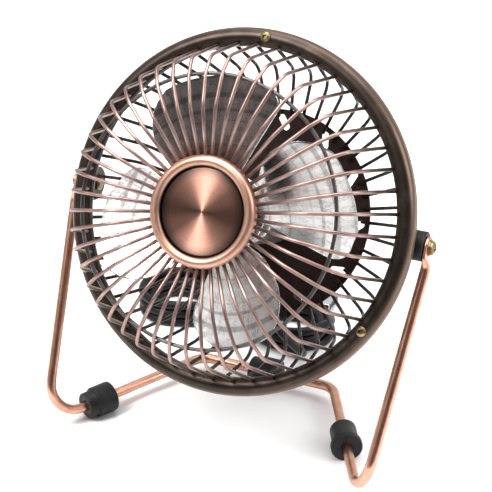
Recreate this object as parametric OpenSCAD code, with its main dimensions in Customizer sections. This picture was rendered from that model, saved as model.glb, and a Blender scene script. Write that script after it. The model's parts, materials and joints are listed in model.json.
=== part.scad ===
// Small desk fan: a round metal cage tilts between the ends of a bent tube
// stand, with a low-voltage motor, four blades and a cable on the back.
// Millimetres. +Z is up, the fan blows towards -Y, and z = 0 is the table.

/* [Cage] */
// Outside diameter of the rim
rim_d = 140; // [132:1:142]
// Number of wires in each half of the cage
wire_count = 48; // [30:2:54]
// Thickness of a cage wire
wire_d = 1.4; // [1.0:0.1:1.6]
// Lean of the cage backwards from upright
head_tilt = 26; // [0:1:40]

/* [Blades] */
// Number of blades
blade_count = 4; // [3:1:5]
// Diameter swept by the blades
blade_d = 102; // [90:1:104]
// Pitch of a blade
blade_pitch = 25; // [14:1:26]

/* [Stand] */
// Height of the tilt axis above the table
pivot_h = 90.2; // [88:0.2:98]
// Thickness of the stand's tube
tube_d = 4; // [3.6:0.2:4.4]
// Diameter of a rubber foot
foot_d = 12.5; // [11:0.5:13]

/* [Cable] */
// Thickness of the cable
cable_d = 4; // [3.6:0.2:4.4]

/* [Hidden] */
$fn = 0;
$fa = 6;
$fs = 0.3;

// Front-to-back place of the tilt axis, so that the object is centred on y = 0
pivot_y = 4.67;
// Cage: r is the distance from the fan's axis, v runs from front to back
rim_r = rim_d / 2;
roll_r = 3.6;            // radius of the rim's rolled edge
roll_mid = rim_r - roll_r;
seam_v = -8.3;           // where the two halves of the rim meet
roll_front_v = -9;
roll_rear_v = -7.6;
sheet = 0.9;
screw_r = 66.6;
screw_angles = [0.8, 120.8, 240.8];
wire_r = wire_d / 2;
lap = 0.4;               // overlap of straight and bent lengths of bar
front_path = [[19, -40.4], [38, -43.4], [50, -41.4], [57, -36.6], [rim_r - 6, -9.6]];
rear_path = [[rim_r - 6, -6.6], [57.4, 18.2], [38.4, 25.4]];
plate_v = 25.8;          // front face of the rear plate
plate_t = 1.2;
plate_r = 41.5;
can_r = 12.4;            // motor can
can_v0 = -3;              // front of the can
shaft_r = 1.15;
blade_v = -18.6;         // middle of the blades
cover_r = 23;            // housing behind the rear plate
cover_v1 = 47;
cover_screw_r = 20;
gland_v = 38.5;
rocker_v = cover_v1 - 0.6; // axis of the rocker
rocker_w = 6;

// Stand, measured from the tilt axis
end_x = 74.4;            // tube centre at the tilt axis
tube_r = tube_d / 2;
run_z = 6;               // height of the tube that lies along the table
leg_top = [end_x, pivot_y, pivot_h];
bend_front = [67, pivot_y - 50.3, run_z];
bend_rear = [29.8, pivot_y + 17.7, run_z];
bend_front_r = 11;
bend_rear_r = 8;
flat_x0 = 72.4;          // inner face of the flattened tube end
flat_t = 1.5;
flat_len = 8.6;          // from the tilt axis to where the tube is full round
foot_len = 12.6;
foot_right_from = 35;    // front face of the right foot, from the front bend
foot_left_from = 18.6;   // front face of the left foot, from the front bend

// Copper and dark metal colours
copper = [0.78, 0.50, 0.38];
dark = [0.14, 0.11, 0.10];
black = [0.06, 0.06, 0.065];
brass = [0.62, 0.50, 0.30];
alu = [0.82, 0.83, 0.84];

// Vector helpers
function unit(a) = a / norm(a);
function turn_of(p, i) = acos(unit(p[i] - p[i - 1]) * unit(p[i + 1] - p[i]));
function cut_at(p, r, i) = i == 0 || i == len(p) - 1 ? 0 : r[i] * tan(turn_of(p, i) / 2);

// Places children with their own X, Y and Z along three unit vectors, at a point
module axes_at(o, x, y, z) {
    multmatrix([[x[0], y[0], z[0], o[0]], [x[1], y[1], z[1], o[1]],
        [x[2], y[2], z[2], o[2]], [0, 0, 0, 1]])
        children();
}

// A straight round bar between two points
module bar(a, b, r) {
    z = unit(b - a);
    x = unit(abs(z[2]) < 0.9 ? cross(z, [0, 0, 1]) : cross(z, [1, 0, 0]));
    axes_at(a, x, cross(z, x), z)
        cylinder(h = norm(b - a), r = r);
}

// One bend of round bar at corner i of the path p, with bend radius r[i]
module elbow(p, r, i, bar_r) {
    a = unit(p[i] - p[i - 1]);
    b = unit(p[i + 1] - p[i]);
    n = unit(b - (a * b) * a);
    s = p[i] - a * cut_at(p, r, i);
    axes_at(s + n * r[i], -n, a, cross(-n, a))
        rotate_extrude(angle = turn_of(p, i))
            translate([r[i], 0])
                circle(r = bar_r);
}

// Round bar along the path p, bent to the radii r at its inner corners. The straight
// lengths lap a little over the bends, which are a hair thinner.
module bent_bar(p, r, bar_r) {
    last = len(p) - 1;
    for (i = [0 : last - 1]) {
        d = unit(p[i + 1] - p[i]);
        from = i == 0 ? 0 : cut_at(p, r, i) - lap;
        to = i + 1 == last ? 0 : cut_at(p, r, i + 1) - lap;
        bar(p[i] + d * from, p[i + 1] - d * to, bar_r);
    }
    for (i = [1 : last - 1])
        elbow(p, r, i, bar_r - 0.03);
}

// The cage's own frame: X right, Y from front to back along the fan's axis, Z up
module head() {
    translate([0, pivot_y, pivot_h])
        rotate([-head_tilt, 0, 0])
            children();
}

// Inside head(): children drawn about Z turn about the fan's axis, Z pointing back
module about_axis(v = 0) {
    translate([0, v, 0])
        rotate([-90, 0, 0])
            children();
}

// Children at a clock angle (0 is the top) and a radius from the fan's axis
module at_clock(angle, r, v) {
    about_axis(v)
        rotate([0, 0, angle - 90])
            translate([r, 0, 0])
                children();
}

// A ring or disc about the fan's axis from a profile of [r, v] points
module lathe(profile) {
    about_axis()
        rotate_extrude()
            polygon(profile);
}

module torus(ring_r, bar_r, v) {
    about_axis(v)
        rotate_extrude()
            translate([ring_r, 0])
                circle(r = bar_r);
}

// Children on the right side, or on the left side when side is -1
module on_side(side) {
    if (side > 0)
        children();
    else
        mirror([1, 0, 0]) children();
}

// Places children at the tilt axis, with Z pointing to the right, at x
module on_pivot(x) {
    translate([x, pivot_y, pivot_h])
        rotate([0, 90, 0])
            children();
}

// ---- Stand ----

// The flattened end of the tube, with the hole for the pivot screw
module flat_end() {
    down = unit(bend_front - leg_top);
    start = leg_top + down * flat_len;
    difference() {
        union() {
            on_pivot(flat_x0) {
                cylinder(h = flat_t, r = 4.1);
                rotate([0, 0, atan2(down[1], -down[2])])
                    translate([0, -4.1, 0]) cube([4.8, 8.2, flat_t]);
            }
            hull() {
                on_pivot(flat_x0 + 0.05)
                    rotate([0, 0, atan2(down[1], -down[2])])
                        translate([3.7, -4, 0]) cube([1, 8, flat_t - 0.1]);
                bar(start + down * 0.4, start + down, tube_r - 0.04, $fn = 32);
            }
        }
        on_pivot(flat_x0 - 1)
            cylinder(h = flat_t + 3, r = 1.6);
    }
}

module stand_tube() {
    down = unit(bend_front - leg_top);
    p = [leg_top + down * flat_len, bend_front, bend_rear,
        [-bend_rear[0], bend_rear[1], bend_rear[2]],
        [-bend_front[0], bend_front[1], bend_front[2]],
        [-leg_top[0], leg_top[1], leg_top[2]] + [-down[0], down[1], down[2]] * flat_len];
    color(copper) {
        bent_bar(p, [0, bend_front_r, bend_rear_r, bend_rear_r, bend_front_r, 0], tube_r);
        flat_end();
        mirror([1, 0, 0]) flat_end();
    }
}

// Half outline of a turned block from z0 to z1, with its outer corners rounded to c
module turned_block(r, z0, z1, c = 0.7) {
    translate([0, z0 + c]) square([r, z1 - z0 - 2 * c]);
    translate([0, z0]) square([r - c, z1 - z0]);
    translate([r - c, z0 + c]) circle(r = c);
    translate([r - c, z1 - c]) circle(r = c);
}

// A slide-on rubber foot in two steps, the front one front_len long
module foot_shape(front_r, front_len, rear_r) {
    rotate_extrude()
        difference() {
            union() {
                turned_block(front_r, 0, front_len);
                turned_block(rear_r, front_len - 1, foot_len);
            }
            translate([-1, -1]) square([1 + tube_r, foot_len + 2]);
        }
}

// A foot on the tube, from the middle of its front face along a unit vector. Its wide
// step is pressed flat where it meets the table.
module foot_on(point, along, front_r, front_len, rear_r) {
    up = [0, 0, 1];
    difference() {
        axes_at(point, cross(up, along), up, along)
            foot_shape(front_r, front_len, rear_r);
        translate([point[0] - 30, point[1] - 30, -20])
            cube([60, 60, 20]);
    }
}

run_dir = unit(bend_rear - bend_front);

module foot_left() {
    color(black)
        mirror([1, 0, 0])
            foot_on(bend_front + run_dir * foot_left_from, run_dir,
                foot_d / 2 - 0.85, 5, foot_d / 2);
}

module foot_right() {
    color(black)
        foot_on(bend_front + run_dir * foot_right_from, run_dir,
            foot_d / 2, 3.2, foot_d / 2 - 0.95);
}

module foot_rear() {
    color(black)
        foot_on([-foot_len / 2 - 0.5, bend_rear[1], run_z], [1, 0, 0],
            foot_d / 2 - 0.85, 5, foot_d / 2);
}

module pivot_spacer(side) {
    color(black)
        on_side(side)
            on_pivot(67.1)
                difference() {
                    rotate_extrude()
                        difference() {
                            union() {
                                square([5.1, flat_x0 - 67.1]);
                                translate([0, 0.6]) square([5.7, flat_x0 - 67.1 - 1.2]);
                                translate([5.1, 0.6]) circle(r = 0.6);
                                translate([5.1, flat_x0 - 67.1 - 0.6]) circle(r = 0.6);
                            }
                            translate([-1, -1]) square([1 + 1.6, 9]);
                        }
                }
}

module pivot_washer(side) {
    color(brass)
        on_side(side)
            on_pivot(flat_x0 + flat_t)
                difference() {
                    cylinder(h = 0.5, r = 3.1);
                    translate([0, 0, -1]) cylinder(h = 3, r = 1.6);
                }
}

// Pan-head screw through the tube end, the spacer and the cage's ear
module pivot_screw(side) {
    color(brass)
        on_side(side)
            difference() {
                union() {
                    on_pivot(63.6) cylinder(h = 11, r = 1.5);
                    on_pivot(flat_x0 + flat_t + 0.5) {
                        cylinder(h = 0.9, r = 2.6);
                        translate([0, 0, 0.9])
                            rotate_extrude()
                                intersection() {
                                    translate([0, -3.2]) circle(r = 4.1);
                                    square([2.6, 3]);
                                }
                    }
                }
                translate([flat_x0 + flat_t + 1.5, pivot_y - 0.4, pivot_h - 1.5])
                    cube([3, 0.8, 3]);
                translate([flat_x0 + flat_t + 1.5, pivot_y - 1.5, pivot_h - 0.4])
                    cube([3, 3, 0.8]);
            }
}

module pivot_nut(side) {
    color(brass)
        on_side(side)
            on_pivot(63.9)
                difference() {
                    cylinder(h = 1.4, r = 2.8, $fn = 6);
                    translate([0, 0, -1]) cylinder(h = 5, r = 1.5);
                }
}

// ---- Rim ----

// Outline of the rim's rolled sheet, as a ring profile with walls of the sheet's thickness
module roll_outline(t) {
    translate([roll_mid, roll_front_v]) circle(r = roll_r - t);
    translate([roll_mid, roll_rear_v]) circle(r = roll_r - t);
    translate([roll_mid - roll_r + t, roll_front_v])
        square([2 * (roll_r - t), roll_rear_v - roll_front_v]);
}

module rim_half(from_v, to_v) {
    about_axis()
        rotate_extrude()
            intersection() {
                difference() {
                    roll_outline(0);
                    roll_outline(sheet);
                }
                translate([rim_r - 12, from_v]) square([20, to_v - from_v]);
            }
}

module screw_holes(r) {
    for (a = screw_angles)
        at_clock(a, screw_r, -20)
            cylinder(h = 30, r = r);
}

module rim_front() {
    color(dark)
        head()
            difference() {
                rim_half(-20, seam_v);
                screw_holes(1.1);
            }
}

module rim_rear() {
    color(dark)
        difference() {
            head()
                difference() {
                    rim_half(seam_v, 0);
                    screw_holes(1.1);
                }
            for (x = [66.75, -76.75])
                on_pivot(x) cylinder(h = 10, r = 6.2);
            for (x = [58, -76])
                on_pivot(x) cylinder(h = 18, r = 1.9);
        }
}

// Flat ear welded to the inside of the rim, with a bore that turns on the pivot screw
module pivot_ear(side) {
    color(dark)
        on_side(side)
            difference() {
                hull() {
                    on_pivot(65.4) cylinder(h = 1.5, r = 6.8, $fn = 48);
                    head()
                        translate([65.4, -5.4, -6.8]) cube([1.5, 4, 13.6]);
                }
                on_pivot(60) cylinder(h = 10, r = 1.55);
            }
}

// Socket-head screw that holds the two halves of the rim
module rim_screw(angle) {
    color(brass)
        head()
            at_clock(angle, screw_r, roll_front_v - roll_r - 1.0)
                difference() {
                    union() {
                        translate([0, 0, 0.5])
                            rotate_extrude()
                                intersection() {
                                    translate([0, 1.9]) circle(r = 2.7);
                                    translate([0, -1]) square([1.9, 1.7]);
                                }
                        cylinder(h = 12, r = 1.0);
                    }
                    translate([0, 0, -2]) cylinder(h = 2.6, r = 0.95, $fn = 6);
                }
}

module rim_nut(angle) {
    color(brass)
        head()
            at_clock(angle, screw_r, roll_rear_v + roll_r)
                difference() {
                    cylinder(h = 1.6, r = 2.1, $fn = 6);
                    translate([0, 0, -1]) cylinder(h = 4, r = 1.0);
                }
}

// ---- Cage ----

function in_cage(q) = [q[0], q[1], 0];

// Wires drawn in the (r, v) plane and repeated round the axis
module wires(path, radii, phase) {
    for (k = [0 : wire_count - 1])
        about_axis()
            rotate([0, 0, phase + k * 360 / wire_count])
                rotate([90, 0, 0])
                    bent_bar([for (q = path) in_cage(q)], radii, wire_r, $fn = 32);
}

module front_wires() {
    color(copper)
        head() wires(front_path, [0, 14, 9, 8, 0], -1.85);
}

module front_ring() {
    color(dark)
        head() torus(50, 0.95, -39.95);
}

module front_hub_plate() {
    color(dark)
        head() lathe([[0, -40.9], [19.6, -40.9], [19.6, -39.3], [0, -39.3]]);
}

module hub_bezel() {
    color(copper)
        head()
            about_axis()
                rotate_extrude()
                    difference() {
                        union() {
                            translate([18.45, -42.7]) circle(r = 2.15);
                            translate([18.45 - 2.15, -42.7]) square([4.3, 2.7]);
                        }
                        translate([0, -40.9]) square([30, 10]);
                    }
}

module hub_disc() {
    color(copper)
        head()
            lathe([[0, -40.9], [0, -43.1], [15.6, -43.1], [16.2, -42.5], [16.2, -40.9]]);
}

module rear_wires() {
    color(dark)
        head() wires(rear_path, [0, 10, 0], -4.5);
}

// Long hole with round ends, cut through the rear plate
module plate_slot() {
    for (x = [-2, 2])
        translate([x, 0, -1]) cylinder(h = 4, r = 1.5);
    translate([-2, -1.5, -1]) cube([4, 3, 4]);
}

module rear_plate() {
    color(dark)
        head()
            difference() {
                about_axis(plate_v) cylinder(h = plate_t, r = plate_r);
                for (k = [0 : 11])
                    at_clock(k * 30 - 1.2, 36.4, plate_v)
                        rotate([0, 0, -35]) plate_slot();
                about_axis(plate_v - 1) cylinder(h = 4, r = 3.6);
                for (s = [-8, 8])
                    translate([s, 0, 0])
                        about_axis(plate_v - 1) cylinder(h = 4, r = 1.05);
                for (a = [60, 180, 300])
                    at_clock(a, cover_screw_r, plate_v - 1) cylinder(h = 4, r = 1.05);
            }
}

// ---- Motor ----

module motor_can() {
    color([0.55, 0.56, 0.57])
        head()
            difference() {
                about_axis(can_v0)
                    rotate_extrude()
                        difference() {
                            union() {
                                translate([0, 1]) square([can_r, plate_v - can_v0 - 2.6]);
                                square([can_r - 1, 4]);
                                translate([can_r - 1, 1]) circle(r = 1);
                                translate([0, -1.6]) square([4.2, 3]);
                            }
                            translate([-1, 1]) square([1 + can_r - 0.9, 40]);
                            translate([-1, -0.8]) square([1 + 3.4, 4]);
                            translate([-1, -3]) square([1 + 1.6, 4]);
                        }
            }
}

module motor_end_cap() {
    color(black)
        head()
            difference() {
                about_axis(plate_v - 1.6) cylinder(h = 1.6, r = can_r);
                about_axis(plate_v - 3) cylinder(h = 6, r = 3.4);
                for (s = [-8, 8])
                    translate([s, 0, 0])
                        about_axis(plate_v - 3) cylinder(h = 6, r = 1.0);
            }
}

module motor_magnet(start) {
    color([0.2, 0.2, 0.21])
        head()
            about_axis(can_v0 + 4)
                rotate([0, 0, start])
                    rotate_extrude(angle = 130)
                        translate([can_r - 3.1, 0]) square([2.2, 15]);
}

module bearing(v0, v1) {
    color(brass)
        head()
            difference() {
                about_axis(v0) cylinder(h = v1 - v0, r = 3.4);
                about_axis(v0 - 1) cylinder(h = v1 - v0 + 2, r = shaft_r + 0.05);
            }
}

module motor_screws() {
    color(brass)
        head()
            for (s = [-8, 8])
                translate([s, 0, 0]) {
                    about_axis(plate_v - 1.6) cylinder(h = 1.6 + plate_t + 0.1, r = 1.0);
                    about_axis(plate_v + plate_t) cylinder(h = 1.2, r = 1.9);
                }
}

// ---- Rear housing, switch and cable exit ----

module cover_outline(t) {
    r = cover_r - t;
    square([r, cover_v1 - plate_v - plate_t - 6]);
    square([r - 6 + t, cover_v1 - plate_v - plate_t - t]);
    translate([r - 6 + t, cover_v1 - plate_v - plate_t - 6])
        circle(r = 6 - t);
}

module rear_cover() {
    color(dark)
        head()
            difference() {
                union() {
                    about_axis(plate_v + plate_t)
                        rotate_extrude()
                            difference() {
                                cover_outline(0);
                                cover_outline(1.2);
                            }
                    for (a = [60, 180, 300])
                        at_clock(a, cover_screw_r, plate_v + plate_t)
                            cylinder(h = 8, r = 2.4);
                }
                for (a = [60, 180, 300])
                    at_clock(a, cover_screw_r, plate_v + plate_t - 1)
                        cylinder(h = 7, r = 1.0);
                translate([-6.6, cover_v1 - 4, 1.5]) cube([13.2, 8, 9]);
                at_clock(180, 30, gland_v)
                    rotate([0, -90, 0]) cylinder(h = 12, r = 3.2);
            }
}

module cover_screws() {
    color(brass)
        head()
            for (a = [60, 180, 300])
                at_clock(a, cover_screw_r, plate_v - 1.2) {
                    cylinder(h = 1.2, r = 1.9);
                    cylinder(h = 6.5, r = 1.0);
                }
}

module switch_body() {
    color(black)
        head()
            difference() {
                union() {
                    translate([-7.6, cover_v1, 0.5]) cube([15.2, 1.2, 11]);
                    translate([-6.5, cover_v1 - 8, 1.6]) cube([13, 8.5, 8.8]);
                }
                translate([-5.3, cover_v1 - 4, 2.7]) cube([10.6, 8, 6.6]);
                translate([0, rocker_v, 0]) cylinder(h = 12, r = 0.86);
            }
}

// Rocker that turns on two stub pins; it rests with one end down
module switch_rocker() {
    color(black)
        head()
            translate([0, rocker_v, rocker_w])
                rotate([0, 0, -10]) {
                    linear_extrude(height = 6.2, center = true)
                        polygon([[-4.7, -2.4], [4.7, -2.4], [4.7, 1.9], [0, 1.1], [-4.7, 1.9]]);
                    cylinder(h = 8, r = 0.8, center = true);
                }
}

module cable_gland() {
    color(black)
        head()
            at_clock(180, cover_r - 2.4, gland_v)
                rotate([0, 90, 0]) {
                    difference() {
                        union() {
                            cylinder(h = 2.6, r = 3.2);
                            translate([0, 0, 2.4]) cylinder(h = 1.4, r = 4.2);
                            translate([0, 0, 3.7]) cylinder(h = 9, r1 = 3.6, r2 = 2.5);
                        }
                        translate([0, 0, -1]) cylinder(h = 20, r = cable_d / 2);
                    }
                }
}

// ---- Rotor ----

module motor_shaft() {
    color(alu)
        head()
            about_axis(-27) cylinder(h = 27 + 25.6, r = shaft_r);
}

module armature_core() {
    color([0.5, 0.5, 0.52])
        head()
            difference() {
                about_axis(7)
                    linear_extrude(height = 11)
                        for (a = [0, 120, 240])
                            rotate([0, 0, a]) {
                                translate([0, -1.3]) square([7, 2.6]);
                                intersection() {
                                    difference() {
                                        circle(r = 8.8);
                                        circle(r = 7);
                                    }
                                    polygon([[0, 0], [12, -12], [12, 12]]);
                                }
                            }
                about_axis(0) cylinder(h = 30, r = shaft_r);
            }
}

module armature_coils() {
    color([0.72, 0.40, 0.22])
        head()
            for (a = [0, 120, 240])
                about_axis(6)
                    rotate([0, 0, a])
                        difference() {
                            translate([2.9, -3, 0]) cube([3.9, 6, 13]);
                            translate([0, -1.35, 0.95]) cube([8, 2.7, 11.1]);
                        }
}

module commutator() {
    color(brass)
        head()
            difference() {
                about_axis(20) cylinder(h = 2.6, r = 2.4);
                about_axis(19) cylinder(h = 6, r = shaft_r);
            }
}

module blade_hub() {
    color(alu)
        head()
            difference() {
                union() {
                    about_axis(blade_v - 5) cylinder(h = 12, r = 5);
                    about_axis(blade_v + 0.5) cylinder(h = 1.2, r = 12);
                }
                about_axis(-40) cylinder(h = 40, r = shaft_r);
            }
}

// Outline of one blade: one edge straight, the other swelling into a wide round lobe
module blade_outline() {
    intersection() {
        union() {
            polygon([[6, -4], [6, -0.8], [37.2, 17], [46.6, 14], [50.6, 6], [52, 0], [52, -10],
                [32, -10], [15, -14]]);
            translate([40.5, 11.2]) circle(r = 6.7);
            translate([32.5, -10.5]) circle(r = 18.5);
        }
        circle(r = blade_d / 2);
    }
}

// One blade: a plate turned about its own radius to its pitch
module blade() {
    rotate([blade_pitch, 0, 0])
        linear_extrude(height = 0.8, center = true)
            blade_outline();
}

module fan_blades() {
    color(alu)
        head()
            difference() {
                about_axis(blade_v)
                    intersection() {
                        union() {
                            for (k = [0 : blade_count - 1])
                                rotate([0, 0, -98.5 + k * 360 / blade_count]) blade();
                            translate([0, 0, -0.5]) cylinder(h = 1, r = 15);
                        }
                        translate([0, 0, -20]) cylinder(h = 40, r = blade_d / 2);
                    }
                about_axis(-20) cylinder(h = 30, r = 5);
            }
}

module shaft_cap() {
    color(brass)
        head()
            difference() {
                about_axis(blade_v - 10) cylinder(h = 4.9, r = 3);
                about_axis(-27) cylinder(h = 10, r = shaft_r);
            }
}

// ---- Cable: it drops from the cage, and its spare length lies folded behind ----

// Route of the lead from the gland down to the table and into the folded hank
lead_points = [[0, 24.7, 43.4], [0.3, 23.6, 40.6], [1, 23.4, 37], [2, 24.4, 33],
    [3, 26, 28.6], [4, 28.2, 24], [5.2, 31, 19.6], [6.6, 34.2, 15], [7.8, 37.6, 10.6],
    [8.2, 41.2, 6.6], [6.6, 44.8, 3.7], [2.6, 47.4, 2.4], [-3.5, 48.3, 2.1], [-9, 49, 2.1]];
// Folded hank: a long loop lying along the back of the stand, drawn in at its middle
hank_x0 = -80;
hank_x1 = 14;
hank_y0 = 46;
hank_w = 35;
hank_h = 13;
waist_w = 18.6;
waist_half_l = 27;
// Route of the free end from the hank to the plug
tail_points = [[-62.5, 78.7, 10.4], [-54, 80.4, 8.8], [-46.5, 83, 6.3], [-39.5, 86, 4.6],
    [-34, 87.8, 4.05], [-30, 88.4, 4]];
grip_l = 22;
grip_w = 11;
grip_h = 8;
shell_l = 18.5;
shell_w = 12;
shell_h = 4.5;

// A round tube swept along points: 8 sides, and a flat cap at each end
function mid_dir(p, i) = i == 0 ? unit(p[1] - p[0])
    : i == len(p) - 1 ? unit(p[i] - p[i - 1]) : unit(p[i + 1] - p[i - 1]);
function side_of(d) = unit(cross(d, [1, 0.02, 0.01]));
function ring_points(p, i, r, n) = let (d = mid_dir(p, i), s = side_of(d), t = cross(d, s))
    [for (k = [0 : n - 1]) p[i] + r * (s * cos(k * 360 / n) + t * sin(k * 360 / n))];
module swept_tube(p, r, n = 8) {
    m = len(p);
    points = [for (i = [0 : m - 1]) each ring_points(p, i, r, n)];
    sides = [for (i = [0 : m - 2], k = [0 : n - 1], upper = [0, 1])
        let (a = i * n + k, b = i * n + (k + 1) % n, c = a + n, d = b + n)
        upper == 0 ? [a, c, d] : [a, d, b]];
    caps = [[for (k = [0 : n - 1]) k], [for (k = [n - 1 : -1 : 0]) (m - 1) * n + k]];
    polyhedron(points, concat(sides, caps), convexity = 6);
}

module cable_lead() {
    color(black) swept_tube(lead_points, cable_d / 2);
}

module cable_tail() {
    color(black) swept_tube(tail_points, cable_d / 2);
}

// Outer shape of the folded cable: a long block with round ends and a waist
module cable_hank() {
    dip = (hank_w - waist_w) / 2;
    bow = (waist_half_l * waist_half_l + dip * dip) / (2 * dip);
    mid = (hank_x0 + hank_x1) / 2;
    r = hank_w / 2;
    color(black)
        linear_extrude(height = hank_h)
            difference() {
                union() {
                    translate([hank_x0 + r, hank_y0]) square([hank_x1 - hank_x0 - hank_w, hank_w]);
                    translate([hank_x0 + r, hank_y0 + r]) circle(r = r);
                    translate([hank_x1 - r, hank_y0 + r]) circle(r = r);
                }
                translate([mid, hank_y0 + dip - bow]) circle(r = bow, $fn = 180);
                translate([mid, hank_y0 + hank_w - dip + bow]) circle(r = bow, $fn = 180);
            }
}

// Soft tie round the waist of the hank
module cable_tie() {
    mid = (hank_x0 + hank_x1) / 2;
    y0 = hank_y0 + (hank_w - waist_w) / 2;
    color([0.12, 0.12, 0.13])
        translate([mid - 4, y0, 0])
            difference() {
                translate([0, -0.8, 0]) cube([8, waist_w + 1.6, hank_h + 0.8]);
                translate([-1, 0, -1]) cube([10, waist_w, hank_h + 1]);
            }
}

// Moulded grip of the plug, with rounded corners
module usb_grip() {
    end = tail_points[len(tail_points) - 1];
    color(black)
        translate([end[0], end[1] - grip_w / 2, 0])
            difference() {
                hull()
                    for (x = [1.5, grip_l - 1.5], y = [1.5, grip_w - 1.5])
                        translate([x, y, 0]) cylinder(h = grip_h, r = 1.5, $fn = 32);
                translate([grip_l - 5, grip_w / 2 - 4, grip_h / 2 - 1])
                    cube([6, 8, 2]);
            }
}

// Metal shell of the plug, open at its mouth
module usb_shell() {
    end = tail_points[len(tail_points) - 1];
    color([0.75, 0.75, 0.77])
        translate([end[0] + grip_l, end[1] - shell_w / 2, grip_h / 2 - shell_h / 2])
            difference() {
                cube([shell_l - 6, shell_w, shell_h]);
                translate([2, 0.4, 0.4]) cube([shell_l, shell_w - 0.8, shell_h - 0.8]);
            }
}

stand_tube();
foot_left();
foot_right();
foot_rear();
pivot_spacer(-1);  // pivot_spacer_left
pivot_spacer(1);  // pivot_spacer_right
pivot_washer(-1);  // pivot_washer_left
pivot_washer(1);  // pivot_washer_right
pivot_screw(-1);  // pivot_screw_left
pivot_screw(1);  // pivot_screw_right
pivot_nut(-1);  // pivot_nut_left
pivot_nut(1);  // pivot_nut_right
rim_front();
rim_rear();
pivot_ear(-1);  // pivot_ear_left
pivot_ear(1);  // pivot_ear_right
rim_screw(screw_angles[0]);  // rim_screw_top
rim_screw(screw_angles[1]);  // rim_screw_right
rim_screw(screw_angles[2]);  // rim_screw_left
rim_nut(screw_angles[0]);  // rim_nut_top
rim_nut(screw_angles[1]);  // rim_nut_right
rim_nut(screw_angles[2]);  // rim_nut_left
front_wires();
front_ring();
front_hub_plate();
hub_bezel();
hub_disc();
rear_wires();
rear_plate();
motor_can();
motor_end_cap();
motor_magnet(25);  // motor_magnet_a
motor_magnet(205);  // motor_magnet_b
bearing(can_v0 - 0.7, can_v0 + 2.4);  // motor_bearing_front
bearing(plate_v - 2.8, plate_v + 0.8);  // motor_bearing_rear
motor_screws();
rear_cover();
cover_screws();
switch_body();
switch_rocker();
cable_gland();
motor_shaft();
armature_core();
armature_coils();
commutator();
blade_hub();
fan_blades();
shaft_cap();
cable_lead();
cable_hank();
cable_tie();
cable_tail();
usb_grip();
usb_shell();
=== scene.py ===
"""Looks for the desk fan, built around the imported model. Lengths are in metres."""
import bpy
import json
import math
import random
from mathutils import Matrix, Vector


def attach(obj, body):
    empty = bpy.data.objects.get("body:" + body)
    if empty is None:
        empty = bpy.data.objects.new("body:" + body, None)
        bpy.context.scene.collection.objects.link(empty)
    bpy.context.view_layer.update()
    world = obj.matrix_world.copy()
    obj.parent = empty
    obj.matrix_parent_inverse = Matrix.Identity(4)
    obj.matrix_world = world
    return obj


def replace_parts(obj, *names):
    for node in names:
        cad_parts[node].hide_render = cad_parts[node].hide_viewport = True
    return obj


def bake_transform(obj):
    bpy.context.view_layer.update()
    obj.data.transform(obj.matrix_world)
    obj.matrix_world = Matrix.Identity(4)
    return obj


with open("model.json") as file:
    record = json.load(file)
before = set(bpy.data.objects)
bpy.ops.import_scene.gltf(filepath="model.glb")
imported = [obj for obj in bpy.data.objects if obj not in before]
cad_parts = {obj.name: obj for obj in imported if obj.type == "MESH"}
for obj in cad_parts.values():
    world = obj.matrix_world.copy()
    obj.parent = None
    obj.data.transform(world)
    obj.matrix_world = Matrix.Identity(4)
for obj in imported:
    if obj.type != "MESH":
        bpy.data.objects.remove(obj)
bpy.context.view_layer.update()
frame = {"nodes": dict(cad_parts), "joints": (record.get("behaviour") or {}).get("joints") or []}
MM = 0.001
TILT = math.radians(26)
joints = {j["name"]: j for j in frame["joints"]}
PIVOT = Vector(joints["head_tilt"]["pos_m"])

# Axes of the cage: right, back along the fan's axis, and up
CAGE_RIGHT = Vector((1, 0, 0))
CAGE_BACK = Vector((0, math.cos(TILT), -math.sin(TILT)))
CAGE_UP = Vector((0, math.sin(TILT), math.cos(TILT)))
# The same place with its Z along the fan's axis
CAGE_TURNED = Matrix((CAGE_RIGHT, CAGE_BACK.cross(CAGE_RIGHT), CAGE_BACK)).transposed().to_4x4()
CAGE_TURNED.translation = PIVOT


def cage_point(right, back, up):
    """A point given in millimetres along the cage's own axes."""
    return PIVOT + (CAGE_RIGHT * right + CAGE_BACK * back + CAGE_UP * up) * MM


def at_clock(angle, radius, back):
    """A point at a clock angle round the fan's axis, 0 at the top, in millimetres."""
    a = math.radians(angle)
    return cage_point(radius * math.sin(a), back, radius * math.cos(a))


# ---------------------------------------------------------------- camera

def make_camera():
    azimuth, elevation, roll = map(math.radians, (24.56, 28.89, -1.01))
    distance, aside, below = 0.6, -0.00042, -0.01299
    towards = Vector((math.sin(azimuth) * math.cos(elevation),
                      -math.cos(azimuth) * math.cos(elevation), math.sin(elevation)))
    right = Vector((math.cos(azimuth), math.sin(azimuth), 0))
    up = towards.cross(right)
    eye = PIVOT + towards * distance + right * aside + up * below
    across = right * math.cos(roll) + up * math.sin(roll)
    upward = up * math.cos(roll) - right * math.sin(roll)
    data = bpy.data.cameras.new("camera")
    data.sensor_width = 36
    data.lens = 114.1
    data.clip_start = 0.01
    cam = bpy.data.objects.new("camera", data)
    bpy.context.scene.collection.objects.link(cam)
    turn = Matrix((across, upward, towards)).transposed().to_4x4()
    cam.matrix_world = Matrix.Translation(eye) @ turn
    bpy.context.scene.camera = cam


make_camera()


# ---------------------------------------------------------------- mesh helpers

def new_object(name, verts, faces, material):
    mesh = bpy.data.meshes.new(name)
    mesh.from_pydata([tuple(v) for v in verts], [], faces)
    mesh.update()
    mesh.validate()
    mesh.materials.append(material)
    obj = bpy.data.objects.new(name, mesh)
    bpy.context.scene.collection.objects.link(obj)
    return obj


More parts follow.
